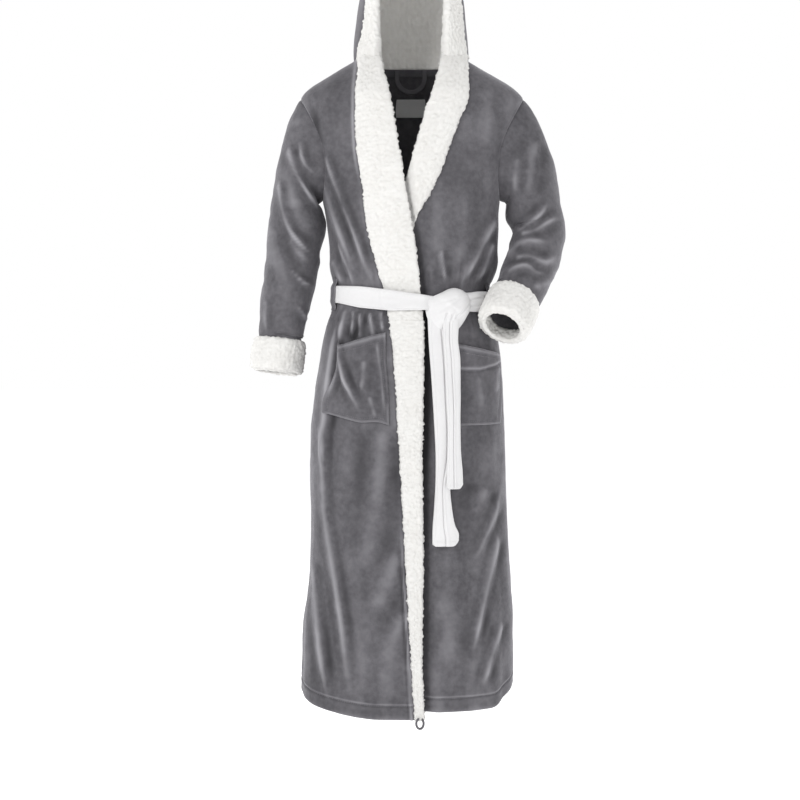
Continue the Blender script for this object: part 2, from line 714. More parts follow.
def tufted(grid, normal, seed, strength=1.0, cell=TUFT_CELL):
    """Points of a fleece surface: small curled tufts on soft waves, and how deep each place lies."""
    near, number = tufts(grid, cell, seed)
    fine, _ = tufts(grid, 0.5 * cell, seed + 50)
    height = 1.0 - np.minimum(near / 0.75, 1.0) ** 2
    height = height * (0.65 + 0.7 * number) + 0.28 * (1.0 - np.minimum(fine / 0.8, 1.0))
    wave = 0.6 * noise(grid, 0.021, seed + 7)
    lift = TUFT_HEIGHT * (height + 0.5 * wave - 0.45) * strength
    slip = 0.0007 * np.stack([noise(grid, 0.005, seed + 20 + n) for n in range(3)], axis=-1)
    return grid + normal * np.asarray(lift)[..., None] + slip, height


def full_thickness(points):
    """Thickness of the over front's band, which the belt presses flat."""
    pressed = soft_step((0.042 - np.abs(points[..., 2] - BELT_MIDDLE - 0.006)) / 0.028)
    return BAND_THICK * (1.0 - 0.62 * pressed)


def thin_thickness(points):
    """Thickness of the under front's band, which the over front presses flat."""
    pressed = under_recess(points) / UNDER_RECESS
    return BAND_THICK + (BAND_UNDER_THICK - BAND_THICK) * pressed


def fleece_band(name, rows, edges, columns, inside, outside, material, seed):
    """Band of fleece on the front, between the two edges that a table gives at each height."""
    z = rows[:, None] * np.ones((1, columns))
    first = ring_angle(rows, along(edges, rows, 1))
    last = ring_angle(rows, along(edges, rows, 2))
    angle = first[:, None] + (last - first)[:, None] * np.linspace(0.0, 1.0, columns)[None, :]
    flat = ring_points(z, angle)
    relief, _ = body_relief(flat, angle)
    calm = 0.15 * relief
    normal = outward(flat)
    inner = flat + normal * (calm + inside(flat))[..., None]
    calm = calm + 0.0035 * soft_step((z + 0.04) / 0.04)
    across = np.linspace(-1.0, 1.0, columns)[None, :]
    crown = (1.0 - 0.45 * np.abs(across) ** 5) * (1.0 - 0.5 * soft_step((z + 0.003) / 0.012))
    base = flat + normal * (calm + inside(flat) + outside(flat) * crown)[..., None]
    outer, height = tufted(base, normal, seed)
    return thick_cloth(name, outer, inner, material, height, ragged=0.0022)


# -------- sleeves


def spline_rows(table, places):
    """Rows of a table between its own rows, on a smooth curve."""
    low = np.clip(np.floor(places).astype(int), 0, len(table) - 2)
    part = (places - low)[:, None]
    before, start, end, after = four_rows(table, low)
    return 0.5 * (2.0 * start + (end - before) * part
                  + (2.0 * before - 5.0 * start + 4.0 * end - after) * part ** 2
                  + (3.0 * start - 3.0 * end + after - before) * part ** 3)


def sleeve_rings(table, places, side, inset, count):
    """Loops of points square to the sleeve at places counted in rows of its table."""
    centre = spline_rows(table, places)
    ahead = spline_rows(table, np.minimum(places + 0.15, len(table) - 1.0))
    behind = spline_rows(table, np.maximum(places - 0.15, 0.0))
    axis = unit((ahead - behind)[:, :3])
    outward_axis = unit(np.array((1.0, 0.0, 0.0)) - axis[:, :1] * axis)
    forward = np.cross(outward_axis, axis)
    forward *= -np.sign(forward[:, 1:2])
    turn = np.linspace(0.0, math.tau, count, endpoint=False)[None, :]
    inset = np.asarray(inset, float).reshape(-1, 1)
    wide = (centre[:, 3:4] - inset) * np.cos(turn)
    deep = (centre[:, 4:5] - inset) * np.sin(turn)
    points = (centre[:, None, :3] + outward_axis[:, None] * wide[..., None]
              + forward[:, None] * deep[..., None])
    points[..., 0] *= side
    return points


def sleeve_surface(table, side, count, head_rows, arm_rows):
    """Loops from the armhole's edge to the hand."""
    turn = np.linspace(0.0, 360.0, count, endpoint=False)
    height = ARMHOLE_MIDDLE + ARMHOLE_HALF_HEIGHT * np.cos(np.radians(turn))
    reach = ARMHOLE_REACH * np.sin(np.radians(turn))
    armhole = ring_points(height, side * (90.0 - reach))
    arm = sleeve_rings(table, np.linspace(0.0, len(table) - 1.0, arm_rows), side, 0.0, count)
    first = armhole + np.array((side * 0.03, 0.0, -0.018))
    second = arm[0] + np.array((0.0, 0.0, 0.055))
    part = np.linspace(0.0, 1.0, head_rows, endpoint=False)[:, None, None]
    keep = 1.0 - part
    head = (keep ** 3 * armhole + 3.0 * keep ** 2 * part * first
            + 3.0 * keep * part ** 2 * second + part ** 3 * arm[0])
    tuck = armhole - np.array((side * 0.0045, 0.0, 0.0))
    grid = np.concatenate((head, arm), axis=0)
    for _ in range(14):
        smooth = (grid[:-2] + grid[2:]) / 2.0
        grid[3:-1] = 0.5 * grid[3:-1] + 0.5 * smooth[2:]
    return np.concatenate((tuck[None], grid), axis=0)


def make_sleeve(name, table, side, folds, seed, material):
    grid = sleeve_surface(table, side, 132, 44, 92)
    normal = turned(normals_of(grid, closed=True), grid - grid.mean(axis=1, keepdims=True))
    x, z = grid[..., 0], grid[..., 2]
    relief, crest = fold_relief(x, z, folds)
    facing = soft_step((-normal[..., 1] + 0.05) / 0.35)
    relief = relief * facing
    nap = crest * facing
    down = np.linspace(0.0, 1.0, len(grid))[:, None]
    twist = grid + 0.015 * noise(grid, 0.09, seed)[..., None]
    rings = noise(twist, (0.06, 0.06, 0.03), seed + 1)
    rings += 0.5 * noise(twist, (0.04, 0.04, 0.016), seed + 2)
    bent = bump(down - 0.5, 0.2)
    relief += (0.0016 + 0.0022 * bent) * rings * (1.0 - 0.55 * facing)
    nap += 0.5 * np.maximum(rings, 0.0) ** 2 * (1.0 - 0.5 * facing)
    ease = noise(grid, (0.012, 0.012, 0.06), seed + 3)
    head = bump(down - 0.03, 0.05)
    relief += 0.001 * ease * head
    relief *= soft_step((down - 0.008) / 0.06)
    relief *= 1.0 - 0.8 * soft_step((down - 0.8) / 0.06)
    inner_side = soft_step((-side * normal[..., 0] - 0.15) / 0.6)
    rest = 0.0105 * bump(z + 0.345, 0.036) if side < 0.0 else 0.0
    relief += rest * inner_side
    relief += 0.0008 * noise(grid, 0.03, seed + 4)
    outer = grid + normal * relief[..., None]
    inner = outer - normal * PLUSH_THICK
    return thick_cloth(name, outer, inner, material, nap, closed=True)


CUFF_ROW_STEP = 0.03


def make_cuff(name, table, side, seed, material):
    """Fleece cuff: turned back over the sleeve's end, and inside it for a little way."""
    last = len(table) - 1.0
    first = last - 2.0
    profile = []
    for share in np.linspace(0.0, 1.0, 30):
        swell = 0.0108 * (1.0 - abs(2.0 * share - 1.0) ** 4) ** 0.5
        profile.append((first - 0.02 + (last + 0.04 - first) * share, 0.0006 + swell))
    for turn in np.linspace(0.0, math.pi, 7)[1:-1]:
        profile.append((last + 0.04 + 0.1 * math.sin(turn), -0.003 + 0.0036 * math.cos(turn)))
    for share in np.linspace(0.0, 1.0, 14):
        profile.append((last + 0.03 - 0.75 * share, -0.0088 + 0.0012 * share))
    for share in np.linspace(0.0, 1.0, 8):
        profile.append((last - 0.72 + 0.7 * share, -0.0055))
    for share in np.linspace(0.0, 1.0, 12):
        profile.append((last - 0.02 + (first - last) * share, 0.0006))
    profile = np.array(profile)
    places = np.clip(profile[:, 0], 0.0, last)
    grid = sleeve_rings(table, places, side, -profile[:, 1], 150)
    end = spline_rows(table, np.array((last - 0.1, last)))[:, :3]
    ahead = unit(end[1] - end[0])
    ahead[0] *= side
    grid += np.maximum(profile[:, 0] - last, 0.0)[:, None, None] * CUFF_ROW_STEP * ahead
    normal = normals_of(grid, closed=True)
    strength = np.ones(len(profile))
    strength[29:40] = 0.45
    strength[-20:] = 0.0
    if np.sum(normal[10:20] * (grid[10:20] - grid[10:20].mean(axis=(0, 1)))) < 0.0:
        normal = -normal
    grid, height = tufted(grid, normal, seed, strength=strength[:, None])
    return ring_solid(name, grid, material, height)


# -------- hood

HOOD_RIM_ANGLE = 28.0
HOOD_LAST_ANGLE = 128.0
HOOD_MIDDLE = (0.005, 0.12)
HOOD_CENTRE = (0.0, 0.03, 0.11)
HOOD_REACH = (0.125, 0.185)
HOOD_RIM_TURN = 122.0
HOOD_NAPE_TURN = -40.0
HOOD_FOOT_Z = 0.001
HOOD_SWELL = 0.2
SHELL_THICK = 0.0035
LINING_OUT = -0.0078


def hood_points(back, across, out):
    """Points of the hood: back is 0 at the rim and 1 at the nape, across runs from -1 to 1."""
    back, across, out = np.broadcast_arrays(back, across, out)
    side = np.where(across < 0.0, -1.0, 1.0)
    up = 1.0 - np.abs(across)
    foot_angle = HOOD_RIM_ANGLE + (HOOD_LAST_ANGLE - HOOD_RIM_ANGLE) * back
    foot = ring_points(0.0, foot_angle, out)
    turn = np.radians(HOOD_RIM_TURN + (HOOD_NAPE_TURN - HOOD_RIM_TURN) * back)
    top_y = HOOD_MIDDLE[0] + (HOOD_REACH[0] + out) * np.cos(turn)
    top_z = HOOD_MIDDLE[1] + (HOOD_REACH[1] + out) * np.sin(turn)
    narrow = np.maximum(np.cos(up * np.pi / 2.0), 0.0) ** RING_POWER
    rise = np.sin(up * np.pi / 2.0) ** RING_POWER
    swell = 1.0 + HOOD_SWELL * (1.0 - back) ** 4 * np.sin(up * np.pi)
    x = side * foot[..., 0] * narrow * swell
    y = foot[..., 1] + (top_y - foot[..., 1]) * rise
    z = HOOD_FOOT_Z + np.maximum(top_z, 0.0) * rise
    deep = 0.0035 + 0.0045 * ((out < -0.004) | (out > 0.0))
    z = z - deep * (1.0 - soft_step(z / 0.025))
    return spots(x, y, z)


def hood_outward(grid):
    return turned(normals_of(grid), grid - HOOD_CENTRE)


def hood_sides(count):
    """Places across the hood, closer together at its middle seam."""
    even = np.linspace(-1.0, 1.0, count)
    return np.sign(even) * np.abs(even) ** 1.25


def make_hood_shell(material):
    back = np.linspace(0.0, 1.0, 96)[:, None]
    across = hood_sides(181)[None, :]
    grid = hood_points(back, across, 0.0)
    normal = hood_outward(grid)
    up = 1.0 - np.abs(across)
    creases = noise(spots(grid[..., 1], grid[..., 0], 0.35 * grid[..., 2]), (0.022, 0.05, 0.05), 61)
    relief = 0.003 * creases * soft_step(up / 0.25) * soft_step(back / 0.2)
    relief += 0.002 * noise(grid, 0.045, 62) * soft_step(up / 0.1)
    relief -= 0.0022 * bump(grid[..., 0], 0.0028)
    relief -= 0.0012 * bump(up, 0.02)
    nap = 0.5 * np.maximum(creases, 0.0) ** 2 + 0.35 * bump(back, 0.05) * np.ones(up.shape)
    outer = grid + normal * relief[..., None]
    inner = grid - normal * SHELL_THICK
    return thick_cloth("hood_shell_cloth", outer, inner, material, nap)


def make_hood_lining(material):
    back = np.linspace(0.0, 1.0, 122)[:, None]
    across = hood_sides(221)[None, :]
    base = hood_points(back, across, LINING_OUT)
    normal = hood_outward(base)
    foot = soft_step((0.03 - base[..., 2]) / 0.025)
    outer = hood_points(back, across, -0.0041 - 0.0026 * foot)
    inner, height = tufted(base, -normal, 300, cell=0.0105)
    inner -= normal * 0.0026 * foot[..., None]
    return thick_cloth("hood_lining_fleece", inner, outer, material, height, ragged=0.0016)


# How far the trim reaches back from the rim, at each share of the way up: right side, left side
TRIM_REACH = (
    ((0.0, 0.265), (0.035, 0.235), (0.056, 0.2), (0.1, 0.17), (0.145, 0.145), (0.3, 0.1), (0.5, 0.08)),
    ((0.0, 0.29), (0.035, 0.28), (0.12, 0.255), (0.2, 0.235), (0.45, 0.17), (0.8, 0.11)),
)
TRIM_WIDEST = 0.33


def make_hood_trim(material):
    """Fleece band round the hood's rim: over its outside, and rolled round the edge."""
    roll = [(TRIM_WIDEST - 0.31 * share, 0.008) for share in np.linspace(0.0, 1.0, 50)]
    roll += [(0.008, 0.0068), (-0.004, 0.0046), (-0.011, 0.0014), (-0.013, -0.0022),
             (-0.01, -0.0056), (0.002, -0.0086), (0.02, -0.0102), (0.04, -0.0106)]
    roll = np.array(roll)
    keep = np.array([(max(b, 0.003), 0.0006 if o > 0.0 and b > -0.004 else LINING_OUT) for b, o in roll])
    keep[-6:, 0] = roll[-6:, 0] + 0.012
    keep[-8:-4, 1] = np.linspace(0.0006, -0.007, 4)
    across = np.linspace(-1.0, 1.0, 501)[None, :]
    up = 1.0 - np.abs(across)
    right, left = (np.interp(up, *zip(*table)) for table in TRIM_REACH)
    reach = np.where(across < 0.0, right, left) / TRIM_WIDEST
    narrow = 1.0 + (reach - 1.0) * np.clip(roll[:, :1] / 0.03, 0.0, 1.0)
    foot = 0.0055 * bump(up, 0.045) * (roll[:, 1:] > 0.004)
    base = hood_points(roll[:, :1] * narrow, across, roll[:, 1:] + foot)
    normal = hood_outward(base)
    inner = hood_points(keep[:, :1] * narrow, across, keep[:, 1:])
    sink = 0.0045 * (1.0 - soft_step((base[..., 2] + 0.008) / 0.013)) * (roll[:, 1:] > 0.004)
    base -= normal * sink[..., None]
    outer, height = tufted(base, normal, 340)
    return thick_cloth("hood_trim_fleece", outer, inner, material, height, ragged=0.002)


# -------- belt

# Distance to the left, upper edge and lower edge of the belt along the front
BELT_FRONT = np.array((
    (-164, -472.5, -508.5),
    (-149, -472.8, -509),
    (-103, -475, -519.5),
    (-39, -483, -526),
    (24, -493, -524.5),
    (49, -496.5, -524),
    (100, -489, -526),
    (148, -486, -525),
    (164, -484, -524),
)) / 1000.0
BELT_BACK = (-0.472, -0.5225)
BELT_THICK = 0.0048
TAIL_THICK = 0.0036
TAIL_FACE = 0.0038

# Height, left edge and right edge of the tails
LONG_TAIL = np.array((
    (-508, 34.5, 88),
    (-590, 37.5, 90),
    (-660, 42.5, 93),
    (-750, 47.5, 95),
    (-830, 51.2, 90),
    (-885, 50.8, 79),
    (-930, 48.5, 82.6),
    (-970, 45.5, 89.8),
    (-992, 44.8, 97.5),
    (-1007, 44.8, 97.5),
)) / 1000.0
SHORT_TAIL = np.array((
    (-508, 66, 102),
    (-584, 68, 96),
    (-625, 70.5, 100),
    (-700, 73, 99.8),
    (-750, 74.5, 98.2),
    (-810, 73.8, 99.4),
    (-860, 72.8, 103.6),
    (-889, 72.5, 104.8),
)) / 1000.0


def over_band_climb(points):
    """1 where the over front's band lies below, and 0 beside it."""
    x, z = points[..., 0], points[..., 2]
    front = points[..., 1] < 0.0
    left = along(OVER_BAND, z, 1)
    right = along(OVER_BAND, z, 2)
    climb = soft_step((x - left + 0.022) / 0.024) * soft_step((right + 0.022 - x) / 0.02)
    return climb * front


def make_belt_waist(material):
    angle = np.linspace(-180.0, 180.0, 300, endpoint=False)
    x = ring_points(BELT_MIDDLE, angle)[:, 0]
    rear = soft_step((np.abs(angle) - 90.0) / 60.0)
    top = np.interp(x, BELT_FRONT[:, 0], BELT_FRONT[:, 1]) * (1.0 - rear) + BELT_BACK[0] * rear
    foot = np.interp(x, BELT_FRONT[:, 0], BELT_FRONT[:, 2]) * (1.0 - rear) + BELT_BACK[1] * rear
    smooth = np.array((1.0, 3.0, 5.0, 6.0, 5.0, 3.0, 1.0)) / 24.0
    top = np.convolve(np.pad(top, 3, mode="wrap"), smooth, mode="valid")
    foot = np.convolve(np.pad(foot, 3, mode="wrap"), smooth, mode="valid")
    profile = [(share, BELT_THICK - 0.0016 * abs(2.0 * share - 1.0) ** 6)
               for share in np.linspace(0.03, 0.97, 30)]
    profile += [(0.99, 0.0022), (1.0, 0.0012), (0.99, 0.0004)]
    profile += [(share, 0.0) for share in np.linspace(0.95, 0.05, 10)]
    profile += [(0.01, 0.0004), (0.0, 0.0012), (0.01, 0.0022)]
    profile = np.array(profile)
    z = top + (foot - top) * profile[:, :1]
    turn = np.broadcast_to(angle, z.shape)
    flat = ring_points(z, turn)
    away = 0.0015 + 0.0092 * over_band_climb(flat)
    face = profile[:, 1:] / BELT_THICK
    crease = noise(spots(0.15 * turn * 0.003, 0.0, z), (0.004, 1.0, 0.009), 71)
    soft = noise(flat, 0.028, 72)
    out = away + profile[:, 1:] + face * (0.0005 * crease + 0.0007 * soft)
    near_knot = bump(flat[..., 0] - 0.045, 0.035) * (flat[..., 1] < 0.0)
    pull = np.sin((z - BELT_MIDDLE) / 0.0052 + flat[..., 0] * 26.0)
    out += face * 0.0011 * near_knot * pull
    stitch = bump(profile[:, :1] - 0.1, 0.018) + bump(profile[:, :1] - 0.9, 0.018)
    out -= 0.0006 * stitch * face
    return ring_solid("belt_waist_cloth", ring_points(z, turn, out), material, seams=(2, 27))


def disc_places(count):
    """A square grid drawn into a disc: its radius from 0 to 1 and its turn."""
    line = np.linspace(-1.0, 1.0, count)
    u, v = np.meshgrid(line, line)
    x = u * np.sqrt(1.0 - v * v / 2.0)
    y = v * np.sqrt(1.0 - u * u / 2.0)
    return np.minimum(np.hypot(x, y), 1.0), np.arctan2(y, x)


def smooth_outline(points, count):
    """Closed smooth line through points, as a table of its places."""
    line = np.array(points)
    table = np.concatenate((line[-2:], line, line[:3]))
    places = np.linspace(2.0, len(line) + 2.0, count, endpoint=False)
    return spline_rows(table, places)


def pillow(outline, standoff, bulge, taper, count, creases):
    """Grids of a soft lobe of cloth on the front; creases are (x, z, x, z, depth, width)."""
    radius, turn = disc_places(count)
    line = smooth_outline(outline, 400)
    centre = line.mean(axis=0)
    way = line - centre
    order = np.argsort(np.arctan2(way[:, 1], way[:, 0]))
    angles = np.arctan2(way[order, 1], way[order, 0])
    lengths = np.hypot(way[order, 0], way[order, 1])
    reach = np.interp(turn, angles, lengths, period=math.tau)
    x = centre[0] + radius * reach * np.cos(turn)
    z = centre[1] + radius * reach * np.sin(turn)
    slope = taper * soft_step(0.5 - 0.9 * np.cos(turn - 0.9))
    high = bulge * np.maximum(1.0 - radius ** (2.6 - 0.9 * slope), 0.0) ** (0.55 + 0.75 * slope)
    out = high.copy()
    for ax, az, bx, bz, depth, width in creases:
        length = math.hypot(bx - ax, bz - az)
        part = np.clip(((x - ax) * (bx - ax) + (z - az) * (bz - az)) / length ** 2, 0.0, 1.0)
        gap = np.hypot(x - ax - part * (bx - ax), z - az - part * (bz - az))
        out -= depth * bump(gap, width) * high / bulge
    angle = ring_angle(z, x)
    outer = ring_points(z, angle, standoff + 0.002 * (1.0 - 0.8 * slope) + out)
    outer += (0.0008 * noise(outer, 0.014, 75) * high / bulge)[..., None] * outward(outer)
    inner = ring_points(z, angle, standoff)
    return outer, inner


# Lobes of the knot: taper, and then outline, standoff, bulge and creases
KNOT_LOBES = (
    # the end of the belt that comes out on the left, flattened
    (0.0, in_metres((
        ((98, -496), (112, -489.5), (130, -486), (147.5, -485.5), (150, -489), (144, -505), (138.5, -523),
         (130, -527.5), (114, -527), (99, -523)),
        8.5, 9.5,
        ((90, -508, 140, -497, 2.4, 2.6), (95, -517, 138, -514, 2, 2.4)),
    ))),
    # the turn over the middle, and the cloth that leads down into the tails
    (1.0, in_metres((
        ((44, -496), (60, -488.5), (74, -481.5), (86, -479.5), (98, -483), (108, -491), (114.5, -503),
         (115, -518), (111, -532), (104, -548), (90, -566), (68, -574), (45, -566), (33, -545),
         (28, -526), (28, -508)),
        7, 19,
        ((52, -528, 104, -486, 1.6, 3), (62, -568, 65, -532, 6, 2.2), (74, -566, 75, -534, 4, 2),
         (84, -540, 111, -506, 3, 3), (46, -512, 78, -500, 1, 3)),
    ))),
)


def make_belt_knot(material):
    parts = []
    for number, (taper, (outline, standoff, bulge, creases)) in enumerate(KNOT_LOBES):
        outer, inner = pillow(outline, standoff, bulge, taper, 72, creases)
        parts.append(thick_cloth("belt_knot_part_" + str(number), outer, inner, material))
    return joined("belt_knot_cloth", parts)


def joined(name, parts):
    """One object made of several closed meshes of quads."""
    points, faces, naps = [], [], []
    for item in parts:
        mesh = item.data
        place = np.zeros(3 * len(mesh.vertices), np.float32)
        mesh.vertices.foreach_get("co", place)
        corners = np.zeros(4 * len(mesh.polygons), np.int32)
        mesh.polygons.foreach_get("vertices", corners)
        faces.append(corners.reshape(-1, 4) + sum(map(len, points)))
        points.append(place.reshape(-1, 3))
        if "nap" in mesh.attributes:
            naps.append(np.zeros(len(mesh.vertices), np.float32))
            mesh.attributes["nap"].data.foreach_get("value", naps[-1])
    material = parts[0].data.materials[0]
    for item in parts:
        bpy.data.objects.remove(item, do_unlink=True)
    return add_mesh(name, np.concatenate(points), np.concatenate(faces), material,
                    np.concatenate(naps) if naps else None)


def make_tail(name, table, standoff, seed, crease, corner, material):
    """Hanging end of the belt: flat cloth, sewn along its edges, with a long crease."""
    rows = np.linspace(table[0, 0], table[-1, 0], 240)
    share = np.linspace(0.0, 1.0, 34)[None, :]
    z = rows[:, None] * np.ones(share.shape)
    first = along(table, rows, 1)[:, None]
    last = along(table, rows, 2)[:, None]
    end = table[-1, 0]
    rise = corner * (np.maximum(share - 0.72, 0.0) / 0.28) ** 2.5
    rise = rise + 0.4 * corner * (np.maximum(0.16 - share, 0.0) / 0.16) ** 2.5
    z = z + rise * soft_step((end + 0.06 - z) / 0.06)
    x = first + (last - first) * share
    half = along(BODY_RINGS, z, 2)
    angle = ring_angle(z, x * half / (half + standoff + TAIL_FACE))
    fall = soft_step((table[0, 0] - 0.03 - z) / 0.1)
    wave = 0.0022 * noise(spots(x, 0.0, 0.25 * z), (0.02, 1.0, 0.03), seed)
    swing = 0.003 * noise(spots(0.1 * x, 0.0, z), (0.1, 1.0, 0.13), seed + 1)
    out = standoff + TAIL_FACE - 0.0012 * np.abs(2.0 * share - 1.0) ** 6
    out = out + (wave + swing + 0.002) * fall
    line = crease + 0.03 * noise(spots(0.0, 0.0, z), 0.09, seed + 2)
    out = out - 0.003 * bump(share - line, 0.028)
    out = out + 0.001 * bump(share - line - 0.1, 0.06)
    out = out - 0.0006 * (bump(share - 0.09, 0.02) + bump(share - 0.91, 0.02))
    seams = ((slice(26, -5), 3), (slice(26, -5), -4), (-5, slice(4, -4)))
    return ring_cloth(name, z, angle, out, TAIL_THICK, material, seams=seams)


BELT_LOOP_ANGLE = 72.0
BELT_LOOP_HALF = 6.0


def make_belt_loop(name, side, material):
    """Strip of plush that holds the belt at a side seam."""
    top, foot = BELT_FRONT[0, 1:] if side < 0.0 else BELT_FRONT[-1, 1:]
    heights = np.array((top + 0.014, top + 0.008, top + 0.003, top - 0.003, (top + foot) / 2.0,
                        foot + 0.003, foot - 0.003, foot - 0.008, foot - 0.014))
    raised = np.array((0.0004, 0.0008, 0.004, 0.0072, 0.0076, 0.0072, 0.004, 0.0008, 0.0004))
    rows = np.linspace(heights[0], heights[-1], 60)
    out = np.interp(-rows, -heights, raised)
    out = np.convolve(np.pad(out, 2, mode="edge"), np.ones(5) / 5.0, mode="valid")
    share = np.linspace(-1.0, 1.0, 17)[None, :]
    angle = side * (BELT_LOOP_ANGLE + BELT_LOOP_HALF * share)
    z = rows[:, None]
    crown = 0.0024 * (1.0 - 0.35 * np.abs(share) ** 4)
    nap = np.repeat(0.5 * np.abs(share) ** 6, len(rows), axis=0)
    return ring_cloth(name, z, angle, out[:, None] + crown, crown, material, nap)


# -------- pockets


POCKET_THICK = 0.0032
# Edges of the pockets as (x, z), and their folds
RIGHT_POCKET = {
    "top": in_metres(((-148, -588), (-146, -596.5), (-136, -596.5), (-117, -591), (-94, -584),
     (-71, -576.5), (-53, -572))),
    "bottom": in_metres(((-177, -736), (-150, -743), (-125, -749.5), (-103, -754), (-78, -753),
     (-64, -753.5), (-46, -759))),
    "left": in_metres(((-148, -588), (-150, -625), (-160, -670), (-173, -705), (-177, -736))),
    "right": in_metres(((-53, -572), (-53, -623), (-50, -662), (-47, -702), (-46, -759))),
    "folds": in_metres((
        (6, 7, ((-148, -592), (-145, -621), (-137, -647), (-127, -678), (-115, -705), (-100, -738))),
        (4.2, 6, ((-147, -628), (-152, -660), (-163, -690), (-172, -715))),
        (2.6, 8, ((-90, -625), (-93, -660), (-99, -695))),
        (2.4, 5, ((-68, -585), (-62, -640), (-56, -700), (-53, -745))),
        (2.2, 7, ((-83, -700), (-77, -725), (-71, -748))),
    )),
    "slack": 0.0115,
    "flat_share": 0.0,
}
LEFT_POCKET = {
    "top": in_metres(((62, -590), (80, -593), (99, -596.5), (125, -603), (150, -609), (178, -615))),
    "bottom": in_metres(((58, -760), (90, -760), (120, -760), (150, -760), (183, -759))),
    "left": in_metres(((62, -590), (61, -650), (59, -700), (58, -760))),
    "right": in_metres(((178, -615), (184, -645), (186.8, -700), (183, -759))),
    "folds": in_metres((
        (3, 9, ((176, -640), (172, -670), (168, -700))),
        (2.2, 10, ((130, -660), (136, -700), (140, -740))),
    )),
    "slack": 0.0085,
    "flat_share": 0.35,
}
LEFT_POCKET_HEM = ((0.062, -0.644), (0.103, -0.6465), (0.133, -0.647), (0.164, -0.638), (0.185, -0.63))


def even_curve(points, count):
    """Smooth curve through points, in even steps."""
    line = np.array(points)
    fine = spline_rows(line, np.linspace(0.0, len(line) - 1.0, 400))
    gone = gone_along(fine)
    even = np.linspace(0.0, gone[-1], count)
    return np.stack([np.interp(even, gone, fine[:, k]) for k in range(2)], axis=1)


def make_pocket(name, shape, material):
    """Patch pocket, sewn down at its sides and foot and slack at its top."""
    columns, rows = 76, 96
    top = even_curve(shape["top"], columns)[None]
    bottom = even_curve(shape["bottom"], columns)[None]
    left = even_curve(shape["left"], rows)[:, None]
    right = even_curve(shape["right"], rows)[:, None]
    across = np.linspace(0.0, 1.0, columns)[None, :, None]
    down = np.linspace(0.0, 1.0, rows)[:, None, None]
    plane = (1.0 - down) * top + down * bottom + (1.0 - across) * left + across * right
    plane -= (1.0 - down) * ((1.0 - across) * top[:, :1] + across * top[:, -1:])
    plane -= down * ((1.0 - across) * bottom[:, :1] + across * bottom[:, -1:])
    x, z = plane[..., 0], plane[..., 1]
    across, down = across[..., 0], down[..., 0]
    angle = ring_angle(z, x)
    flat = ring_points(z, angle)
    relief, _ = body_relief(flat, angle)
    folds, crest = fold_relief(x, z, shape["folds"])
    loose = np.clip((across - shape["flat_share"]) / (1.0 - shape["flat_share"]), 0.0, 1.0)
    slack = np.sin(np.pi * loose) ** 0.8 * (1.0 - down ** 1.6)
    edge = np.minimum(np.minimum(across, 1.0 - across) / 0.05, (1.0 - down) / 0.04)
    sewn = np.exp(-(edge * edge))
    out = 0.0012 + POCKET_THICK + shape["slack"] * slack + folds
    out = out + 0.0012 * noise(flat, 0.03, 81) * (1.0 - sewn)
    out = out - 0.0011 * bump(edge - 0.9, 0.35)
    lip = bump(down - 0.025, 0.022)
    out = out + 0.0016 * lip
    nap = crest + 0.65 * lip + 0.45 * bump(edge, 0.5)
    if shape is LEFT_POCKET:
        line = z - np.interp(x, *zip(*LEFT_POCKET_HEM))
        out = out + 0.0018 * soft_step((line + 0.003) / 0.006) - 0.002 * bump(line + 0.004, 0.0022)
        nap = nap + 0.8 * bump(line - 0.002, 0.003)
    out = np.maximum(relief, -0.001) + out
    seams = ((slice(3, -4), 4), (slice(3, -4), -5), (-5, slice(4, -4)), (9, slice(5, -5)))
    return ring_cloth(name, z, angle, out, POCKET_THICK, material, nap, seams)


# -------- neck pieces


def make_neck_tape(material):
    angle = np.linspace(100.0, 260.0, 140)[None, :]
    z = np.linspace(NECK_Z, -0.015, 12)[:, None]
    return ring_cloth("neck_tape_woven", z, angle, -0.0072, 0.0016, material)


def make_neck_label(material):
    angle = np.linspace(175.0, 185.0, 40)[None, :]
    z = np.linspace(-0.062, -0.1, 36)[:, None]
    curl = 0.0007 * np.abs(np.linspace(-1.0, 1.0, 40)) ** 4
    return ring_cloth("neck_label_woven", z, angle, -0.0068 - curl, 0.0008, material)


def make_hang_loop(material):
    """Doubled tape in a U, sewn into the neck seam."""
    turn = np.linspace(0.0, math.pi, 61)
    legs = np.linspace(-0.004, -0.02, 14, endpoint=False)
    x = np.concatenate((np.ones(14), np.cos(turn), -np.ones(14)))
    down = np.concatenate((np.zeros(14), np.sin(turn), np.zeros(14)))
    top = np.concatenate((legs, np.full(61, -0.02), legs[::-1] - 0.001))
    radius = np.linspace(0.034, 0.026, 9)[None, :]
    z = top[:, None] - down[:, None] * radius
    twist = 0.0006 * np.sin(3.0 * x)[:, None]
    front = spots(x[:, None] * radius, 0.0895 + twist, z)
    rear = spots(x[:, None] * radius, 0.0877 + twist, z)
    return thick_cloth("hang_loop_tape", front, rear, material)


# -------- materials


def feed(tree, node, inputs):
    """Gives a node's inputs their values, or links them from sockets."""
    for key, value in inputs.items():
        if isinstance(value, bpy.types.NodeSocket):
            tree.links.new(value, node.inputs[key])
        else:
            node.inputs[key].default_value = value


def node_of(tree, kind, inputs, **values):
    node = tree.nodes.new(kind)
    for key, value in values.items():
        setattr(node, key, value)
    feed(tree, node, inputs)
    return node


def mixed(tree, factor, first, second):
    """Colour between two sockets or colours, by a factor socket."""
    first, second = ((*value, 1.0) if isinstance(value, tuple) else value for value in (first, second))
    return node_of(tree, "ShaderNodeMix", {0: factor, 6: first, 7: second}, data_type="RGBA").outputs[2]


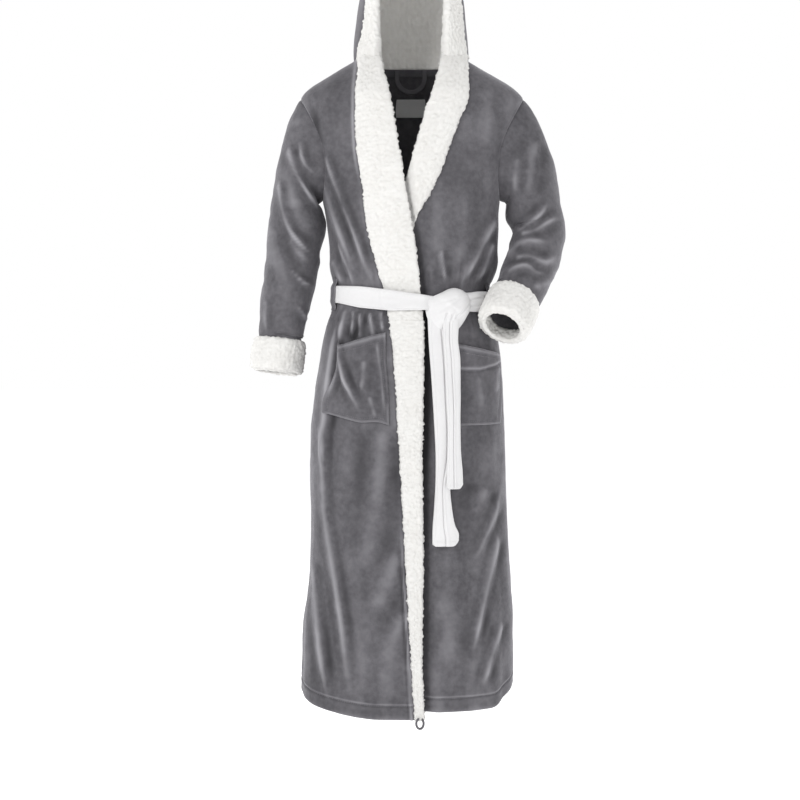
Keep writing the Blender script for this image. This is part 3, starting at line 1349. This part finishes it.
def scaled(tree, socket, share):
    """A socket's value times a share, kept between 0 and 1."""
    inputs = {0: socket, 1: share}
    return node_of(tree, "ShaderNodeMath", inputs, operation="MULTIPLY", use_clamp=True).outputs[0]


def noise_at(tree, place, scale, detail=3.0, low=0.35, high=0.65):
    """Noise from 0 to 1 with its contrast raised."""
    texture = node_of(tree, "ShaderNodeTexNoise", {"Scale": scale, "Detail": detail, "Vector": place})
    inputs = {"From Min": low, "From Max": high, "Value": texture.outputs["Fac"]}
    return node_of(tree, "ShaderNodeMapRange", inputs).outputs["Result"]


def new_shader(name):
    """A new material, its node tree and its shader."""
    material = bpy.data.materials.new(name)
    material.use_nodes = True
    return material, material.node_tree, material.node_tree.nodes["Principled BSDF"]


def cloth_material(name, base, dark, light, roughness, sheen, sheen_tint, patches, nap_share, grain):
    """Cloth whose colour drifts in soft patches and turns lighter where its pile is brushed."""
    material, tree, shader = new_shader(name)
    place = node_of(tree, "ShaderNodeTexCoord", {}).outputs["Object"]
    nap = node_of(tree, "ShaderNodeAttribute", {}, attribute_name="nap").outputs["Fac"]
    colour = mixed(tree, noise_at(tree, place, patches[0]), dark, base)
    fine = noise_at(tree, place, patches[1], 5.0, 0.3, 0.72)
    colour = mixed(tree, scaled(tree, fine, patches[2]), colour, light)
    colour = mixed(tree, scaled(tree, nap, nap_share), colour, light)
    shade = tuple(0.45 * value for value in dark)
    colour = mixed(tree, scaled(tree, nap, -1.4 * nap_share), colour, shade)
    feed(tree, shader, {
        "Base Color": colour, "Roughness": roughness, "Metallic": 0.0, "Specular IOR Level": 0.25,
        "Sheen Weight": sheen, "Sheen Roughness": 0.35, "Sheen Tint": (*sheen_tint, 1.0),
    })
    normal = None
    for scale, depth, strength in grain:
        texture = node_of(tree, "ShaderNodeTexNoise", {"Scale": scale, "Detail": 2.0, "Vector": place})
        inputs = {"Distance": depth, "Strength": strength, "Height": texture.outputs["Fac"]}
        if normal is not None:
            inputs["Normal"] = normal
        normal = node_of(tree, "ShaderNodeBump", inputs).outputs["Normal"]
    feed(tree, shader, {"Normal": normal})
    return material


def make_materials():
    plush = cloth_material(
        "plush_pile", (0.106, 0.102, 0.112), (0.078, 0.075, 0.083), (0.35, 0.344, 0.366),
        0.9, 0.5, (0.8, 0.79, 0.84), (7.0, 90.0, 0.16), 0.62,
        ((260.0, 0.0012, 0.35), (950.0, 0.0006, 0.45)))
    sherpa = cloth_material(
        "curled_fleece", (0.74, 0.73, 0.708), (0.69, 0.676, 0.65), (0.8, 0.795, 0.78),
        0.95, 0.25, (1.0, 0.99, 0.97), (22.0, 160.0, 0.5), 0.4,
        ((420.0, 0.0012, 0.45), (1300.0, 0.0005, 0.5)))
    belt = cloth_material(
        "brushed_white", (0.745, 0.741, 0.746), (0.715, 0.71, 0.716), (0.78, 0.778, 0.782),
        0.85, 0.18, (1.0, 1.0, 1.0), (14.0, 200.0, 0.35), 0.0,
        ((500.0, 0.0005, 0.25), (1500.0, 0.0003, 0.35)))
    tape = cloth_material(
        "grey_tape", (0.12, 0.117, 0.128), (0.1, 0.097, 0.107), (0.18, 0.176, 0.19),
        0.8, 0.1, (0.8, 0.8, 0.8), (60.0, 900.0, 0.3), 0.0,
        ((1400.0, 0.0003, 0.6), (2600.0, 0.0002, 0.5)))
    label = cloth_material(
        "blank_label", (0.8, 0.796, 0.8), (0.78, 0.776, 0.78), (0.83, 0.828, 0.83),
        0.6, 0.05, (1.0, 1.0, 1.0), (60.0, 900.0, 0.3), 0.0,
        ((1800.0, 0.0002, 0.4), (3000.0, 0.0001, 0.4)))
    return {"plush": plush, "sherpa": sherpa, "belt_cloth": belt, "tape_cloth": tape, "label_cloth": label}


# -------- the robe


# Where cloth bends between the robe and a moving body: from the point that stays to the one that moves
TAIL_BEND = ((0.066, -0.13, -0.522), (0.066, -0.13, -0.59))
SLEEVE_BEND = ((0.249, 0.0, -0.2195), (0.3465, 0.0, -0.3054))
BENDS = {
    "skirt_flap": ((-0.0495, -0.1, 0.0071), (0.099, -0.1, -0.0141)),
    "hood": ((0.0, 0.0, -0.002), (0.0, 0.0, 0.095)),
    "long_tail": TAIL_BEND,
    "short_tail": TAIL_BEND,
}


def settle(piece, nodes, body, bend=None):
    """Says which CAD nodes a piece stands for and what it moves with; one that bends is blended."""
    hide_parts(*nodes)
    bend = bend or BENDS.get(body)
    if bend is None:
        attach(piece, body)
    else:
        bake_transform(piece)


def lay(piece, nodes, slot, body, flat, held, below, bend=None, **more):
    """Settles a piece that is a sheet of cloth: its flat size, how it is held and what it rests on."""
    settle(piece, nodes, body, bend)


def make_body(plush):
    back = cloth_patch("back_panel_cloth", row_heights(NECK_Z, HEM_BACK, ROW_STEP), back_stops, 116,
                       HEM_BACK, plush)
    lay(back, ["back_panel"], "plush", "robe", (0.64, 1.36), "hung", "belt_waist")

    rows = row_heights(NECK_Z, WAIST_SPLIT + 0.0005, 0.0042)
    rows = np.append(rows, WAIST_SPLIT + 0.0001)
    bodice = cloth_patch("over_bodice_cloth", rows, over_stops, 74, None, plush, blunt=(-1,))
    lay(bodice, ["over_bodice"], "plush", "robe", (0.3, 0.56), "gathered", "under_front", area=0.135)

    rows = np.linspace(WAIST_SPLIT - 0.0005, HEM_OVER, 190)
    rows = np.insert(rows, 0, WAIST_SPLIT - 0.0001)
    skirt = cloth_patch("over_skirt_part", rows, over_stops, 100, HEM_OVER, plush, blunt=(0,))
    skirt = joined("over_skirt_cloth", [skirt, rolled_corner(plush)])
    lay(skirt, ["over_skirt"], "plush", "skirt_flap", (0.33, 0.83), "hung", "under_front")

    under = cloth_patch("under_front_cloth", row_heights(NECK_Z, HEM_UNDER, ROW_STEP), under_stops, 104,
                        HEM_UNDER, plush, recess=True)
    lay(under, ["under_front"], "plush", "robe", (0.38, 1.37), "hung", "belt_waist")


def make_bands(sherpa):
    rows = np.linspace(BAND_TOP, WAIST_SPLIT + 0.0008, 250)
    upper = fleece_band("over_band_upper_fleece", rows, OVER_BAND, 30, lambda p: BAND_GAP,
                        full_thickness, sherpa, 100)
    lay(upper, ["over_band_upper"], "sherpa", "robe", (0.08, 0.55), "hung", "over_bodice")
    rows = np.linspace(WAIST_SPLIT - 0.0008, HEM_OVER, 370)
    lower = fleece_band("over_band_lower_fleece", rows, OVER_BAND, 24, lambda p: BAND_GAP,
                        full_thickness, sherpa, 120)
    lay(lower, ["over_band_lower"], "sherpa", "skirt_flap", (0.045, 0.83), "hung", "over_skirt")
    rows = np.linspace(BAND_TOP, HEM_UNDER, 490)
    inner = fleece_band("under_band_fleece", rows, UNDER_BAND, 28, lambda p: BAND_GAP - under_recess(p),
                        thin_thickness, sherpa, 140)
    lay(inner, ["under_band"], "sherpa", "robe", (0.075, 1.36), "hung", "under_front")


def make_arms(plush, sherpa):
    arms = (
        ("right", RIGHT_SLEEVE, -1.0, RIGHT_SLEEVE_FOLDS, 500, (0.44, 0.5)),
        ("left", LEFT_SLEEVE, 1.0, LEFT_SLEEVE_FOLDS, 600, (0.43, 0.46)),
    )
    for word, table, side, folds, seed, size in arms:
        sleeve = make_sleeve(word + "_sleeve_cloth", table, side, folds, seed, plush)
        bend = [(side * x, y, z) for x, y, z in SLEEVE_BEND]
        lay(sleeve, [word + "_sleeve"], "plush", word + "_arm", size, "hung", word + "_cuff", bend=bend)
        cuff = make_cuff(word + "_cuff_fleece", table, side, seed + 40, sherpa)
        lay(cuff, [word + "_cuff"], "sherpa", word + "_arm", (0.36, 0.12), "folded", word + "_sleeve")
        loop = make_belt_loop(word + "_belt_loop_cloth", side, plush)
        lay(loop, [word + "_belt_loop"], "plush", "robe", (0.026, 0.072), "stretched", "belt_waist")


def make_hood(plush, sherpa):
    layers = (
        ("shell", make_hood_shell(plush), "plush", (0.68, 0.37), "draped", "back_panel", 0.18),
        ("lining", make_hood_lining(sherpa), "sherpa", (0.66, 0.36), "draped", "hood_shell_right", 0.17),
        ("trim", make_hood_trim(sherpa), "sherpa", (0.68, 0.11), "folded", "hood_shell_right", 0.06),
    )
    for word, piece, slot, flat, held, below, area in layers:
        nodes = ["hood_" + word + "_right", "hood_" + word + "_left"]
        lay(piece, nodes, slot, "hood", flat, held, below, area=area)


def make_belt(belt):
    waist = make_belt_waist(belt)
    lay(waist, ["belt_waist"], "belt_cloth", "robe", (1.04, 0.05), "gathered", "over_bodice")
    knot = make_belt_knot(belt)
    settle(knot, ["belt_knot"], "robe")
    tails = (
        ("long", LONG_TAIL, 0.0062, 700, 0.5, 0.01, (0.05, 0.5)),
        ("short", SHORT_TAIL, 0.0142, 720, 0.42, 0.008, (0.05, 0.39)),
    )
    for word, table, standoff, seed, crease, corner, flat in tails:
        tail = make_tail("belt_tail_" + word + "_cloth", table, standoff, seed, crease, corner, belt)
        lay(tail, ["belt_tail_" + word], "belt_cloth", word + "_tail", flat, "hung", "belt_knot")


def make_small_pieces(plush, woven, blank):
    pocket = make_pocket("right_pocket_cloth", RIGHT_POCKET, plush)
    lay(pocket, ["right_pocket"], "plush", "skirt_flap", (0.135, 0.175), "hung", "over_skirt")
    pocket = make_pocket("left_pocket_cloth", LEFT_POCKET, plush)
    lay(pocket, ["left_pocket"], "plush", "robe", (0.16, 0.165), "hung", "under_front")
    tape = make_neck_tape(woven)
    lay(tape, ["neck_tape"], "tape_cloth", "robe", (0.4, 0.0135), "laid", "back_panel")
    label = make_neck_label(blank)
    lay(label, ["neck_label"], "label_cloth", "robe", (0.062, 0.038), "laid", "back_panel")
    loop = make_hang_loop(woven)
    lay(loop, ["hang_loop"], "tape_cloth", "hanger_tape", (0.01, 0.13), "hung", "neck_tape",
        area=0.00104)


# -------- studio


FLOOR_Z = -1.534
FLOOR_HALF = 30.0
CAMERA_PLACE = (-0.0234, -3.8, -0.584)
CAMERA_TILT = 88.04
CAMERA_LENS = 80.3
CAMERA_SENSOR = 36.0
# Lights: name, place, the height that they point at, size, power
LIGHTS = (
    ("key_light", (-2.3, -2.6, 1.5), -0.6, 1.2, 66.0),
    ("fill_light", (2.8, -2.2, 0.4), -0.7, 1.8, 24.0),
    ("rim_light_right", (-2.4, 1.6, 0.8), -0.6, 1.5, 30.0),
    ("rim_light_left", (2.4, 1.6, 0.8), -0.6, 1.5, 30.0),
)


def area_light(name, place, target_z, size, power):
    light = bpy.data.lights.new(name, "AREA")
    light.shape = "SQUARE"
    light.size = size
    light.energy = power
    item = shown(name, light)
    item.location = place
    x, y, z = place
    item.rotation_euler = (math.atan2(math.hypot(x, y), z - target_z), 0.0, math.atan2(x, -y))
    return item


def make_floor():
    mesh = bpy.data.meshes.new("floor")
    corners = [(x * FLOOR_HALF, y * FLOOR_HALF, FLOOR_Z) for x, y in ((-1, -1), (1, -1), (1, 1), (-1, 1))]
    mesh.from_pydata(corners, [], [(0, 1, 2, 3)])
    pale, tree, shader = new_shader("pale_floor")
    feed(tree, shader, {
        "Base Color": (0.93, 0.93, 0.93, 1.0), "Roughness": 0.95,
        "Emission Color": (1.0, 1.0, 1.0, 1.0), "Emission Strength": 0.58,
    })
    return shown("floor", mesh, pale)


def make_world():
    """White as the camera sees it, and dimmer as the cloth is lit by it."""
    world = bpy.data.worlds.new("studio")
    world.use_nodes = True
    tree = world.node_tree
    seen = node_of(tree, "ShaderNodeLightPath", {})
    inputs = {"To Min": 0.48, "To Max": 1.0, "Value": seen.outputs["Is Camera Ray"]}
    strength = node_of(tree, "ShaderNodeMapRange", inputs).outputs["Result"]
    feed(tree, tree.nodes["Background"], {"Color": (1.0, 1.0, 1.0, 1.0), "Strength": strength})
    return world


def make_studio():
    scene = bpy.context.scene
    make_floor()
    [area_light(*light) for light in LIGHTS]
    scene.world = make_world()
    data = bpy.data.cameras.new("camera")
    data.lens = CAMERA_LENS
    data.sensor_width = CAMERA_SENSOR
    camera = shown("camera", data)
    camera.location = CAMERA_PLACE
    camera.rotation_euler = (math.radians(CAMERA_TILT), 0.0, 0.0)
    scene.camera = camera
    scene.view_settings.view_transform = "Standard"


cloths = make_materials()
make_body(cloths["plush"])
make_bands(cloths["sherpa"])
make_arms(cloths["plush"], cloths["sherpa"])
make_hood(cloths["plush"], cloths["sherpa"])
make_belt(cloths["belt_cloth"])
make_small_pieces(cloths["plush"], cloths["tape_cloth"], cloths["label_cloth"])
make_studio()
